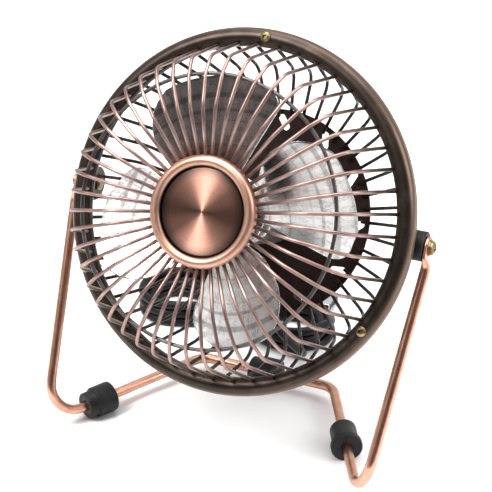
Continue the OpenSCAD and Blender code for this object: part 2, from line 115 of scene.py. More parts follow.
def add_mesh(name, verts, faces, material, body, slot, smooth=True, sharp=None, matrix=None):
    """A piece that rides on a body; edges over sharp degrees stay crisp on a smooth piece."""
    obj = new_object(name, verts, faces, material)
    if smooth:
        obj.data.shade_smooth()
        if sharp:
            obj.data.set_sharp_from_angle(angle=math.radians(sharp))
    if matrix:
        obj.matrix_world = matrix
    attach(obj, body)
    return obj


def rings_to_faces(rings, sides, caps=True):
    """Faces over rings of vertices that follow each other."""
    faces = []
    for i in range(rings - 1):
        a, b = i * sides, (i + 1) * sides
        for k in range(sides):
            n = (k + 1) % sides
            faces.append((a + k, a + n, b + n, b + k))
    if caps:
        faces.append(tuple(range(sides - 1, -1, -1)))
        faces.append(tuple((rings - 1) * sides + k for k in range(sides)))
    return faces


def directions(points):
    """The way a path goes at each of its points."""
    last = len(points) - 1
    return [(points[min(i + 1, last)] - points[max(i - 1, 0)]).normalized() for i in range(last + 1)]


def tube(points, radius, sides):
    """Vertices and faces of a round tube along a path, without twist."""
    dirs = directions(points)
    side = dirs[0].orthogonal().normalized()
    verts = []
    for p, d in zip(points, dirs):
        side = (side - d * side.dot(d)).normalized()
        other = d.cross(side)
        for k in range(sides):
            t = 2 * math.pi * k / sides
            verts.append(p + (side * math.cos(t) + other * math.sin(t)) * radius)
    return verts, rings_to_faces(len(points), sides)


def join(parts):
    """One list of vertices and faces from several."""
    verts, faces = [], []
    for v, f in parts:
        base = len(verts)
        verts += v
        faces += [tuple(i + base for i in face) for face in f]
    return verts, faces


def turned_faces(count, segments, closed=True):
    """Faces between copies of a profile of count points that stand in a full turn."""
    faces = []
    for s in range(segments):
        a, b = s * count, ((s + 1) % segments) * count
        for k in range(count if closed else count - 1):
            n = (k + 1) % count
            faces.append((a + k, b + k, b + n, a + n))
    return faces


def lathe(profile, segments, place=at_clock):
    """A closed profile of (radius, back) points turned about the fan's axis."""
    verts = []
    for s in range(segments):
        verts += [place(360 * s / segments, r, v) for r, v in profile]
    return verts, turned_faces(len(profile), segments)


def rounded(points, radii, steps=6):
    """A path through points with its inner corners rounded to the given radii."""
    out = [points[0]]
    for i in range(1, len(points) - 1):
        before = (points[i - 1] - points[i]).normalized()
        after = (points[i + 1] - points[i]).normalized()
        half = before.angle(after) / 2
        cut = radii[i - 1] / math.tan(half)
        start, end = points[i] + before * cut, points[i] + after * cut
        centre = points[i] + (before + after).normalized() * (radii[i - 1] / math.sin(half))
        u, w = start - centre, end - centre
        sweep = u.angle(w)
        for k in range(steps + 1):
            t = k / steps
            across = u * math.sin((1 - t) * sweep) + w * math.sin(t * sweep)
            out.append(centre + across / math.sin(sweep))
    out.append(points[-1])
    return out


def arc(cx, cy, r, start, end, steps):
    """Points of an arc in a profile, angles in degrees."""
    return [(cx + r * math.cos(math.radians(start + (end - start) * k / steps)),
             cy + r * math.sin(math.radians(start + (end - start) * k / steps)))
            for k in range(steps + 1)]


def spline(points, per):
    """A smooth curve through the points."""
    out = []
    last = len(points) - 1
    for i in range(last):
        p0, p1 = points[max(i - 1, 0)], points[i]
        p2, p3 = points[i + 1], points[min(i + 2, last)]
        for k in range(per):
            t = k / per
            out.append(0.5 * ((2 * p1) + (p2 - p0) * t + (2 * p0 - 5 * p1 + 4 * p2 - p3) * t * t
                              + (3 * p1 - p0 - 3 * p2 + p3) * t ** 3))
    out.append(points[-1])
    return out


def ease(t):
    """0 to 1 with a soft start and end."""
    t = min(1, max(0, t))
    return t * t * (3 - 2 * t)


# ---------------------------------------------------------------- materials

def new_material(name, colour, metallic, roughness, specular=0.5):
    mat = bpy.data.materials.new(name)
    mat.use_nodes = True
    bsdf = mat.node_tree.nodes["Principled BSDF"]
    bsdf.inputs["Base Color"].default_value = (*colour, 1)
    bsdf.inputs["Metallic"].default_value = metallic
    bsdf.inputs["Roughness"].default_value = roughness
    bsdf.inputs["Specular IOR Level"].default_value = specular
    return mat, bsdf


def node(mat, kind, **values):
    """A new shader node; each value is one of its inputs or else one of its settings."""
    n = mat.node_tree.nodes.new(kind)
    for key, value in values.items():
        if key in n.inputs:
            n.inputs[key].default_value = value
        else:
            setattr(n, key, value)
    return n


def link(mat, a, b):
    mat.node_tree.links.new(a, b)


def object_place(mat):
    """The place on the piece, in metres."""
    return node(mat, "ShaderNodeTexCoord").outputs["Object"]


def noise(mat, scale, detail):
    n = node(mat, "ShaderNodeTexNoise", Scale=scale, Detail=detail, Roughness=0.55)
    link(mat, object_place(mat), n.inputs["Vector"])
    return n.outputs["Fac"]


def ramp(mat, value, stops):
    """Colours by a value from 0 to 1."""
    n = node(mat, "ShaderNodeValToRGB")
    els = n.color_ramp.elements
    while len(els) < len(stops):
        els.new(0.5)
    for el, (pos, colour) in zip(els, stops):
        el.position = pos
        el.color = (*colour, 1)
    link(mat, value, n.inputs["Fac"])
    return n.outputs["Color"]


def vary_rough(mat, bsdf, value, low, high):
    n = node(mat, "ShaderNodeMapRange")
    n.inputs["To Min"].default_value = low
    n.inputs["To Max"].default_value = high
    link(mat, value, n.inputs["Value"])
    link(mat, n.outputs["Result"], bsdf.inputs["Roughness"])


def add_bump(mat, bsdf, value, distance):
    n = node(mat, "ShaderNodeBump", Strength=1.0, Distance=distance)
    link(mat, value, n.inputs["Height"])
    link(mat, n.outputs["Normal"], bsdf.inputs["Normal"])


def speckled(name, colour, dark, light, metallic, rough, scale, bump=0.00001, spread=0.08, specular=0.5):
    """A coating or moulding whose colour, roughness and surface vary a little."""
    mat, bsdf = new_material(name, colour, metallic, rough, specular)
    tone = ramp(mat, noise(mat, scale * 0.12, 5), [(0.3, dark), (0.5, colour), (0.72, light)])
    link(mat, tone, bsdf.inputs["Base Color"])
    fine = noise(mat, scale, 3)
    vary_rough(mat, bsdf, fine, rough - spread, rough + spread)
    add_bump(mat, bsdf, fine, bump)
    return mat


def flat_place(mat):
    """The place on the piece with its local Z taken as 0."""
    flat = node(mat, "ShaderNodeVectorMath", operation="MULTIPLY")
    flat.inputs[1].default_value = (1, 1, 0)
    link(mat, object_place(mat), flat.inputs[0])
    return flat.outputs["Vector"]


def axis_radius(mat, scale=1.0):
    """Distance from the local Z axis, in metres times the scale, for turned parts."""
    length = node(mat, "ShaderNodeVectorMath", operation="LENGTH")
    link(mat, flat_place(mat), length.inputs[0])
    times = node(mat, "ShaderNodeMath", operation="MULTIPLY")
    times.inputs[1].default_value = scale
    link(mat, length.outputs["Value"], times.inputs[0])
    return times.outputs["Value"]


def radius_band(mat, first, last):
    """0 at the first radius and 1 at the last, in millimetres."""
    band = node(mat, "ShaderNodeMapRange")
    band.inputs["From Min"].default_value = first * MM
    band.inputs["From Max"].default_value = last * MM
    link(mat, axis_radius(mat), band.inputs["Value"])
    return band.outputs["Result"]


def mix_colour(mat, value, a, b):
    """Mixes two colours, each a constant or an output, by a value from 0 to 1."""
    n = node(mat, "ShaderNodeMix", data_type="RGBA")
    link(mat, value, n.inputs[0])
    for socket, c in ((n.inputs[6], a), (n.inputs[7], b)):
        if isinstance(c, tuple):
            socket.default_value = (*c, 1)
        else:
            link(mat, c, socket)
    return n.outputs[2]


COPPER_TUBE = speckled("copper_tube", (0.62, 0.33, 0.235), (0.56, 0.285, 0.20), (0.69, 0.385, 0.285),
                       1.0, 0.29, scale=1600, bump=0.000005, spread=0.05)
COPPER_WIRE = speckled("copper_wire", (0.31, 0.205, 0.18), (0.23, 0.145, 0.125), (0.41, 0.29, 0.26),
                       1.0, 0.36, scale=1400, bump=0.000006)
DARK_WIRE = speckled("dark_wire", (0.036, 0.025, 0.021), (0.024, 0.016, 0.014), (0.056, 0.040, 0.034),
                     0.6, 0.29, scale=1500)
RING_STEEL = speckled("ring_steel", (0.085, 0.075, 0.070), (0.055, 0.048, 0.044), (0.13, 0.115, 0.11),
                      0.8, 0.34, scale=1500)
PLATE_PAINT = speckled("plate_paint", (0.014, 0.0065, 0.005), (0.010, 0.0045, 0.0035),
                       (0.022, 0.011, 0.008), 0.1, 0.55, scale=1300, specular=0.14)
COVER_PAINT = speckled("cover_paint", (0.042, 0.026, 0.021), (0.032, 0.019, 0.015),
                       (0.060, 0.038, 0.030), 0.5, 0.42, scale=1300)
RUBBER = speckled("rubber", (0.010, 0.010, 0.011), (0.007, 0.007, 0.008), (0.018, 0.018, 0.019),
                  0.0, 0.50, scale=2200, bump=0.00002, specular=0.26)
PLASTIC = speckled("black_plastic", (0.016, 0.016, 0.018), (0.012, 0.012, 0.013),
                   (0.024, 0.024, 0.026), 0.0, 0.42, scale=3000, bump=0.00001)
ROCKER = speckled("rocker_plastic", (0.012, 0.012, 0.013), (0.010, 0.010, 0.011),
                  (0.018, 0.018, 0.019), 0.0, 0.25, scale=3000, bump=0.000004)
JACKET = speckled("cable_jacket", (0.007, 0.007, 0.008), (0.005, 0.005, 0.006),
                  (0.011, 0.011, 0.012), 0.0, 0.40, scale=900, bump=0.00001, specular=0.18)
BRASS = speckled("aged_brass", (0.27, 0.20, 0.10), (0.13, 0.095, 0.05), (0.42, 0.33, 0.19),
                 1.0, 0.38, scale=2600, bump=0.00002)
BRONZE = speckled("bearing_bronze", (0.55, 0.36, 0.16), (0.45, 0.28, 0.12), (0.66, 0.46, 0.24),
                  1.0, 0.42, scale=2600)
STEEL = speckled("zinc_steel", (0.52, 0.53, 0.54), (0.42, 0.43, 0.44), (0.62, 0.63, 0.64),
                 1.0, 0.36, scale=1800, bump=0.000006)
NICKEL = speckled("nickel", (0.66, 0.66, 0.67), (0.58, 0.58, 0.59), (0.74, 0.74, 0.75),
                  1.0, 0.22, scale=1800, bump=0.000004)
FERRITE = speckled("ferrite", (0.05, 0.05, 0.052), (0.035, 0.035, 0.036), (0.07, 0.07, 0.072),
                   0.0, 0.7, scale=2600)
ENAMEL = speckled("enamelled_wire", (0.45, 0.16, 0.06), (0.33, 0.10, 0.04), (0.58, 0.24, 0.10),
                  1.0, 0.30, scale=5000, bump=0.00008)
TIE = speckled("hook_and_loop", (0.020, 0.020, 0.022), (0.010, 0.010, 0.011), (0.045, 0.045, 0.048),
               0.0, 0.85, scale=2600, bump=0.0002, specular=0.25)


def rim_bronze():
    """Antique bronze finish, lighter and warmer on its outermost edge: partly rubbed-back wear, partly a
    painted highlight.
    """
    mat, bsdf = new_material("rim_bronze", (0.07, 0.05, 0.04), 0.85, 0.36)
    mottle = ramp(mat, noise(mat, 140, 5), [(0.3, (0.032, 0.023, 0.018)), (0.5, (0.045, 0.033, 0.026)),
                                            (0.72, (0.068, 0.050, 0.040))])
    # The outermost band is mixed to a lighter, warmer tone: rubbed-back wear together with a painted
    # highlight.
    worn_and_highlit_edge = mix_colour(mat, radius_band(mat, 68.4, 70.0), mottle, (0.17, 0.112, 0.084))
    link(mat, worn_and_highlit_edge, bsdf.inputs["Base Color"])
    fine = noise(mat, 1300, 3)
    vary_rough(mat, bsdf, fine, 0.28, 0.44)
    add_bump(mat, bsdf, fine, 0.00001)
    return mat


def satin_copper():
    """Smooth copper plating with a satin sheen, with painted shade darkening it inside the groove round
    the disc.
    """
    mat, bsdf = new_material("satin_copper", (0.50, 0.29, 0.21), 1.0, 0.3)
    cloud = ramp(mat, noise(mat, 90, 4), [(0.35, (0.44, 0.25, 0.18)), (0.65, (0.55, 0.33, 0.25))])
    # Painted shade: the inner wall of the groove round the disc is mixed to near black.
    tone = mix_colour(mat, radius_band(mat, 16.5, 17.1), (0.03, 0.018, 0.014), cloud)
    link(mat, tone, bsdf.inputs["Base Color"])
    fine = noise(mat, 700, 4)
    vary_rough(mat, bsdf, fine, 0.36, 0.46)
    add_bump(mat, bsdf, fine, 0.000004)
    return mat


def spun_copper():
    """Copper turned on a lathe: fine rings, a highlight drawn out across them, and painted shade darkening
    its edge.
    """
    mat, bsdf = new_material("spun_copper", (0.44, 0.25, 0.20), 1.0, 0.40)
    bsdf.inputs["Anisotropic"].default_value = 0.98
    bsdf.inputs["Anisotropic Rotation"].default_value = 0.25
    tangent = node(mat, "ShaderNodeTangent", direction_type="RADIAL", axis="Z")
    link(mat, tangent.outputs["Tangent"], bsdf.inputs["Tangent"])
    wave = node(mat, "ShaderNodeTexNoise", noise_dimensions="1D", Scale=4200, Detail=3)
    link(mat, axis_radius(mat), wave.inputs["W"])
    rings = ramp(mat, wave.outputs["Fac"], [(0.3, (0.37, 0.185, 0.135)), (0.7, (0.46, 0.245, 0.185))])
    # Painted shade: darker towards the edge of the disc, which also fades its highlight there.
    tone = mix_colour(mat, radius_band(mat, 12.5, 16.3), rings, (0.10, 0.072, 0.06))
    link(mat, tone, bsdf.inputs["Base Color"])
    vary_rough(mat, bsdf, wave.outputs["Fac"], 0.36, 0.44)
    add_bump(mat, bsdf, wave.outputs["Fac"], 0.000006)
    return mat


def brushed_aluminium():
    """Bright sheet with fine marks: faint rings, and streaks that run out along the blades."""
    mat, bsdf = new_material("brushed_aluminium", (0.70, 0.71, 0.71), 1.0, 0.20)
    around = node(mat, "ShaderNodeVectorMath", operation="NORMALIZE")
    link(mat, flat_place(mat), around.inputs[0])
    outward = node(mat, "ShaderNodeCombineXYZ")
    link(mat, axis_radius(mat, 9.0), outward.inputs["Z"])
    polar = node(mat, "ShaderNodeVectorMath", operation="ADD")
    link(mat, around.outputs["Vector"], polar.inputs[0])
    link(mat, outward.outputs["Vector"], polar.inputs[1])
    streak = node(mat, "ShaderNodeTexNoise", Scale=11, Detail=6, Roughness=0.6)
    link(mat, polar.outputs["Vector"], streak.inputs["Vector"])
    ring = node(mat, "ShaderNodeTexNoise", noise_dimensions="1D", Scale=330, Detail=4)
    link(mat, axis_radius(mat), ring.inputs["W"])
    lines = ramp(mat, streak.outputs["Fac"], [(0.34, (0.60, 0.60, 0.595)), (0.445, (0.67, 0.67, 0.665)),
                                              (0.47, (0.40, 0.40, 0.40)), (0.495, (0.67, 0.67, 0.665)),
                                              (0.70, (0.76, 0.76, 0.755))])
    rings = ramp(mat, ring.outputs["Fac"], [(0.36, (0.58, 0.575, 0.565)), (0.43, (0.93, 0.925, 0.91)),
                                            (0.6, (1.0, 1.0, 1.0))])
    both = node(mat, "ShaderNodeVectorMath", operation="MULTIPLY")
    link(mat, lines, both.inputs[0])
    link(mat, rings, both.inputs[1])
    link(mat, both.outputs["Vector"], bsdf.inputs["Base Color"])
    vary_rough(mat, bsdf, streak.outputs["Fac"], 0.18, 0.28)
    add_bump(mat, bsdf, ring.outputs["Fac"], 0.000006)
    return mat


RIM_PAINT = rim_bronze()
ALUMINIUM = brushed_aluminium()


# ---------------------------------------------------------------- cable

# Route of the lead from the cage to the folded hank, and of the free end to the plug
LEAD = [(0, 24.7, 43.4), (0.3, 23.6, 40.6), (1, 23.4, 37), (2, 24.4, 33), (3, 26, 28.6),
        (4, 28.2, 24), (5.2, 31, 19.6), (6.6, 34.2, 15), (7.8, 37.6, 10.6), (8.2, 41.2, 6.6),
        (6.6, 44.8, 3.7), (2.6, 47.4, 2.4)]
TAIL = [(-54, 80.4, 8.8), (-46.5, 83, 6.3), (-39.5, 86, 4.6), (-34, 87.8, 4.05), (-30, 88.4, 4)]
HANK_MID = Vector((-33, 63.5, 0))
HANK_HALF = 29.5                        # from the middle of the hank to the middle of a fold
OUTER, INNER = (15.2, 6.6), (11.0, 2.3)  # radius of a turn's folds, and its half width at the waist
LEVELS = (2.1, 6.3, 10.5)               # heights of the layers
CABLE_R = 2.0


def hank_route():
    """Five turns of cable, drawn in at the waist, that change place in the right-hand fold."""
    turns = [(*OUTER, LEVELS[0]), (*INNER, LEVELS[0]), (*INNER, LEVELS[1]), (*OUTER, LEVELS[1]),
             (*OUTER, LEVELS[2])]
    points = []

    def run(side, first, last, fold, waist, level):
        for k in range(13):
            x = first + (last - first) * k / 12
            y = waist + (fold - waist) * ease(abs(x) / HANK_HALF)
            points.append(HANK_MID + Vector((x, side * y, level)))

    for n, (fold, waist, level) in enumerate(turns):
        run(-1, HANK_HALF, -HANK_HALF, fold, waist, level)
        for k in range(1, 14):
            a = math.radians(-90 - 180 * k / 14)
            points.append(HANK_MID + Vector((fold * math.cos(a) - HANK_HALF, fold * math.sin(a),
                                             level)))
        if n == len(turns) - 1:
            points.append(HANK_MID + Vector((-HANK_HALF, fold, level)))
            break
        run(1, -HANK_HALF, HANK_HALF, fold, waist, level)
        next_fold, _, next_level = turns[n + 1]
        for k in range(1, 16):
            t = k / 16
            f = ease((t - 0.6 + 0.12 * n) / 0.4)
            a = math.radians(90 - 180 * t)
            r = fold + (next_fold - fold) * f
            points.append(HANK_MID + Vector((r * math.cos(a) + HANK_HALF, r * math.sin(a),
                                             level + (next_level - level) * f)))
    return points


def make_cable():
    """The whole cable as one closed skin, and the route of its middle."""
    hank = hank_route()
    lead = [Vector(p) for p in LEAD]
    tail = [Vector(p) for p in TAIL]
    steps, shortest = 6, 0.0003
    start = spline(lead + hank[:2], steps)[:-steps - 1]
    end = spline(hank[-2:] + tail, steps)[steps:]
    middle = spline(hank, 2)
    route = [p * MM for p in start + middle[:-1] + end]
    route = [p for i, p in enumerate(route) if i == 0 or (p - route[i - 1]).length > shortest]
    obj = new_object("cable", *tube(route, CABLE_R * MM, 14), JACKET)
    obj.data.shade_smooth()
    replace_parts(obj, "cable_lead", "cable_hank", "cable_tail")
    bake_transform(obj)
    return obj, route


def box_loft(sections, sides=8):
    """Closed skin over rounded rectangles: (x, y centre, z centre, half width, half height, corner)."""
    verts = []
    for x, yc, zc, hw, hh, c in sections:
        ring = []
        for cy, cz, first in ((1, 1, 0), (-1, 1, 90), (-1, -1, 180), (1, -1, 270)):
            for k in range(sides + 1):
                a = math.radians(first + 90 * k / sides)
                ring.append((yc + cy * (hw - c) + c * math.cos(a),
                             zc + cz * (hh - c) + c * math.sin(a)))
        verts += [Vector((x, y, z)) * MM for y, z in ring]
    faces = [tuple(reversed(f)) for f in rings_to_faces(len(sections), len(ring))]
    return verts, faces


def make_plug():
    """Moulded grip with ribs at its tail, and the metal shell with its tongue and windows."""
    yc, zc = 88.4, 4.0
    sections = [(-33.5, yc, zc, 2.5, 2.5, 2.4), (-31.0, yc, zc, 2.9, 2.8, 2.6)]
    for k in range(4):
        x = -30.4 + k * 1.7
        w, h = 3.3 + 0.28 * k, 3.0 + 0.1 * k
        sections += [(x, yc, zc, w - 0.5, h - 0.35, 2.2), (x + 0.25, yc, zc, w, h, 2.2),
                     (x + 1.05, yc, zc, w + 0.1, h + 0.05, 2.2),
                     (x + 1.3, yc, zc, w - 0.45, h - 0.35, 2.2)]
    sections += [(-23.4, yc, zc, 4.3, 3.3, 2.0), (-21.8, yc, zc, 5.1, 3.8, 1.8),
                 (-19.6, yc, zc, 5.5, 4.0, 1.6), (-14.5, yc, zc, 5.3, 3.85, 1.6),
                 (-10.2, yc, zc, 5.5, 4.0, 1.6), (-8.5, yc, zc, 5.45, 3.95, 1.5),
                 (-8.05, yc, zc, 5.1, 3.6, 1.4), (-8.0, yc, zc, 4.6, 3.1, 1.2)]
    grip = add_mesh("usb_plug_grip", *box_loft(sections), PLASTIC, "stand", "grip_black", sharp=60)
    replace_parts(grip, "usb_grip")

    outer = [(-9.0, yc, zc, 6.0, 2.25, 0.5), (4.35, yc, zc, 6.0, 2.25, 0.5),
             (4.5, yc, zc, 5.85, 2.1, 0.45)]
    inner = [(4.5, yc, zc, 5.7, 1.95, 0.4), (4.35, yc, zc, 5.62, 1.87, 0.4),
             (-8.5, yc, zc, 5.62, 1.87, 0.4)]
    shell = add_mesh("usb_plug_shell", *box_loft(outer + inner), NICKEL, "stand", "plug_steel", sharp=40)
    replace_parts(shell, "usb_shell")

    # The two square windows in the top and bottom, drawn as very thin dark plates that paint in the shade
    # of the hollow behind them
    windows = []
    half, thin = 1.1, 0.012
    for dy in (-3, 3):
        for dz in (-1, 1):
            y0, y1, z = yc + dy - half, yc + dy + half, zc + dz * 2.262
            corners = [(-3.4, y0), (-1.2, y0), (-1.2, y1), (-3.4, y1)]
            low = [Vector((x, y, z - thin)) * MM for x, y in corners]
            high = [Vector((x, y, z + thin)) * MM for x, y in corners]
            windows.append((low + high, rings_to_faces(2, 4)))
    marks = add_mesh("usb_plug_windows", *join(windows), PLASTIC, "stand", "grip_black", smooth=False)

    low = zc - 0.55
    sections = [(-8.4, yc, low, 5.5, 1.0, 0.1), (3.6, yc, low, 5.5, 1.0, 0.1),
                (3.8, yc, low, 5.4, 0.9, 0.1)]
    tongue = add_mesh("usb_plug_tongue", *box_loft(sections), PLASTIC, "stand", "grip_black", sharp=40)
    return grip, shell, marks, tongue


def make_tie():
    """A soft strap wrapped round the waist of the hank."""
    x0, x1 = -37.0, -29.0
    half_w, top, r, thick = 9.3, 13.0, 2.6, 0.8
    loop = []
    for cy, cz, first in ((1, 1, 0), (-1, 1, 90), (-1, 0, 180), (1, 0, 270)):
        for k in range(9):
            a = math.radians(first + 90 * k / 8)
            loop.append((HANK_MID.y + cy * (half_w - r) + r * math.cos(a),
                         (top - r if cz else r) + r * math.sin(a)))
    verts = []
    for grow, x in ((0.0, x0), (thick, x0), (thick, x1), (0.0, x1)):
        for y, z in loop:
            out = Vector((0, y - HANK_MID.y, (z - top / 2) * 1.1)).normalized()
            q = Vector((x, y, z)) + out * grow
            q.z = max(q.z, 0.02)
            verts.append(q * MM)
    strap = add_mesh("cable_strap", verts, turned_faces(len(loop), 4), TIE, "stand", "tie_black", sharp=50)
    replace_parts(strap, "cable_tie")
    return strap


cable, cable_route = make_cable()
plug_pieces = make_plug()
strap_piece = make_tie()


# ---------------------------------------------------------------- cage

WIRES = 48
WIRE_R = 0.7
# The middle line of a wire as (radius, back) points from its inner end or from the rim
FRONT_PATH = [(19, -40.4), (38, -43.4), (50, -41.4), (57, -36.6), (64, -9.6)]
REAR_PATH = [(64, -6.6), (57.4, 18.2), (38.4, 25.4)]


def make_wires(name, path, radii, phase, material, slot, replaced, seed):
    """Bent wires repeated round the axis, each a hair different from the next."""
    rng = random.Random(seed)
    parts = []
    for k in range(WIRES):
        angle = 90 + phase + 360 * k / WIRES + rng.uniform(-0.12, 0.12)
        a = math.radians(angle)
        out = CAGE_RIGHT * math.sin(a) + CAGE_UP * math.cos(a)
        points = []
        for i, (r, v) in enumerate(path):
            if 0 < i < len(path) - 1:
                v += rng.uniform(-0.15, 0.15)
            points.append(PIVOT + (out * r + CAGE_BACK * v) * MM)
        parts.append(tube(rounded(points, [r * MM for r in radii]), WIRE_R * MM, 12))
    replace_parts(add_mesh(name, *join(parts), material, "cage", slot), replaced)


make_wires("cage_wires_front", FRONT_PATH, [14, 9, 8], -1.85, COPPER_WIRE, "copper_wire",
           "front_wires", 3)
make_wires("cage_wires_rear", REAR_PATH, [10], -4.5, DARK_WIRE, "dark_wire", "rear_wires", 4)


def turned_piece(name, profile, material, slot, replaced, segments=160, sharp=35):
    """A turned part whose own Z runs along the fan's axis, so its grain follows the turning."""
    verts = []
    for s in range(segments):
        a = 2 * math.pi * s / segments
        verts += [Vector((r * math.cos(a), r * math.sin(a), v)) * MM for r, v in profile]
    faces = turned_faces(len(profile), segments, closed=False)
    obj = add_mesh(name, verts, faces, material, "cage", slot, sharp=sharp, matrix=CAGE_TURNED)
    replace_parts(obj, replaced)


def make_rim():
    """Two rolled halves that meet at a seam with softened edges."""
    mid, r, seam = 66.4, 3.6, -8.3
    front_mid, rear_mid = seam - 0.7, seam + 0.7
    inner, outer = mid - r, mid + r
    front = [(inner, seam - 0.25), (inner, front_mid)]
    front += arc(mid, front_mid, r, 180, 360, 24)[1:]
    front += [(outer, seam - 0.3), (outer - 0.12, seam - 0.08), (outer - 0.45, seam), (inner + 0.4, seam)]
    rear = [(inner + 0.4, seam), (outer - 0.45, seam), (outer - 0.12, seam + 0.08), (outer, seam + 0.3)]
    rear += arc(mid, rear_mid, r, 0, 180, 24)
    rear += [(inner, seam + 0.25)]
    for name, profile, replaced in (("rim_band_front", front, "rim_front"),
                                    ("rim_band_rear", rear, "rim_rear")):
        turned_piece(name, profile + profile[:1], RIM_PAINT, "bronze_rim", replaced, segments=240,
                     sharp=50)


make_rim()


turned_piece("hub_bezel_ring",
             [(16.3, -40.9), (16.3, -41.6)] + arc(18.45, -42.7, 2.15, 180, 360, 40)
             + [(20.6, -41.6), (20.6, -40.9)],
             satin_copper(), "copper_polished", "hub_bezel")
turned_piece("hub_disc_face",
             [(0.01, -43.15), (3, -43.15), (8, -43.13), (15.2, -43.05)]
             + arc(15.5, -42.4, 0.65, 270, 360, 6) + [(16.15, -40.9), (0.01, -40.9)],
             spun_copper(), "copper_polished", "hub_disc")
turned_piece("support_ring", arc(50, -39.95, 0.72, 0, 360, 20), RING_STEEL, "dark_wire",
             "front_ring", segments=200)


# ---------------------------------------------------------------- blades

BLADE_V, BLADE_ROOT, BLADE_R, PITCH = -18.6, 6, 51.0, 25
FIRST_BLADE, RIVET_R = -98.5, 9


def blade_edges(x):
    """Lowest and highest place of the blade's outline at a distance x from the axis."""
    reach = math.sqrt(max(0, BLADE_R ** 2 - x * x))
    straight = -0.75 + 0.577 * (x - BLADE_ROOT)
    corner = 11.2 + math.sqrt(max(0, 6.7 ** 2 - (x - 40.5) ** 2))
    end = 14 - 2.0 * (x - 46.6)
    high = straight if x < 37.15 else (corner if x < 46.6 else end)
    lobe = -10.5 - math.sqrt(max(0, 18.5 ** 2 - (x - 32.5) ** 2))
    root = -4 - 0.159 * (x - BLADE_ROOT) ** 2
    low = root if x < 15.5 else lobe
    return max(low, -reach), min(high, reach)


def make_blades():
    """Four blades on one sheet: flat at the hub, turning to their pitch, with a slight hollow."""
    along, across = 64, 22
    parts = []
    for b in range(4):
        turn = math.radians(FIRST_BLADE + 90 * b)
        upper, lower = [], []
        for i in range(along + 1):
            t = i / along
            x = BLADE_ROOT + (BLADE_R - 0.02 - BLADE_ROOT) * math.sin(t * math.pi / 2)
            low, high = blade_edges(x)
            pitch = math.radians(PITCH) * ease((x - 5) / 13)
            for j in range(across + 1):
                w = 0.5 - 0.5 * math.cos(math.pi * j / across)
                y = low + (high - low) * w
                hollow = 1.2 * (1 - ((y + 5) / 23) ** 2) * ease((x - 12) / 16)
                edge = min(j, across - j, along - i)
                thick = 0.4 if edge > 0 else 0.3
                for side, store in ((-1, upper), (1, lower)):
                    store.append((x, y * math.cos(pitch),
                                  y * math.sin(pitch) - hollow + side * thick))
        verts = []
        for x, y, z in upper + lower:
            xx = x * math.cos(turn) - y * math.sin(turn)
            yy = x * math.sin(turn) + y * math.cos(turn)
            verts.append(cage_point(xx, BLADE_V + z, -yy))
        n = across + 1
        total = n * (along + 1)
        faces = []
        for i in range(along):
            for j in range(across):
                a = i * n + j
                faces.append((a, a + 1, a + n + 1, a + n))
                faces.append((total + a + n, total + a + n + 1, total + a + 1, total + a))
        outline = [i * n for i in range(along + 1)] + [along * n + j for j in range(1, n)]
        outline += [i * n + across for i in range(along - 1, -1, -1)]
        outline += [j for j in range(across - 1, 0, -1)]
        for k, a in enumerate(outline):
            c = outline[(k + 1) % len(outline)]
            faces.append((a, c, total + c, total + a))
        parts.append((verts, faces))
    plate = [(5.0, BLADE_V - 0.5), (14.7, BLADE_V - 0.5), (15.0, BLADE_V - 0.2), (15.0, BLADE_V + 0.2),
             (14.7, BLADE_V + 0.5), (5.0, BLADE_V + 0.5)]
    parts.append(lathe(plate, 96))
    rivet = [(0.01, -1.35), (0.9, -1.3), (1.5, -1.0), (1.75, -0.5), (1.75, 0.0), (0.01, 0.0)]
    for k in range(4):
        parts.append(lathe(rivet, 24, place=lambda angle, r, v, k=k: rivet_point(k, angle, r, v)))
    turned = CAGE_TURNED.inverted()
    verts, faces = join(parts)
    obj = add_mesh("blades", [turned @ v for v in verts], faces, ALUMINIUM, "rotor", "blade_aluminium",
                   sharp=60, matrix=CAGE_TURNED)
    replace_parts(obj, "fan_blades")


def rivet_point(k, angle, r, v):
    """A point on the rivet between blade k and the next, with v from the sheet's face."""
    a, turn = math.radians(angle), math.radians(FIRST_BLADE + 45 + 90 * k)
    x = RIVET_R * math.cos(turn) + r * math.cos(a)
    y = RIVET_R * math.sin(turn) + r * math.sin(a)
    return cage_point(x, BLADE_V - 0.5 + v, -y)


make_blades()


# ---------------------------------------------------------------- stand

TUBE_R = 2.0
TUBE_HEIGHT = 6
LEG_TOP = Vector((74.4, 0, 0)) + PIVOT / MM
BEND_FRONT = Vector((67, PIVOT.y / MM - 50.3, TUBE_HEIGHT))
BEND_REAR = Vector((29.8, PIVOT.y / MM + 17.7, TUBE_HEIGHT))
FLAT_MID = 73.15                # the flattened end's own distance from the middle plane
FLAT_WIDE, FLAT_THIN = 4.1, 0.75  # its half width and half thickness


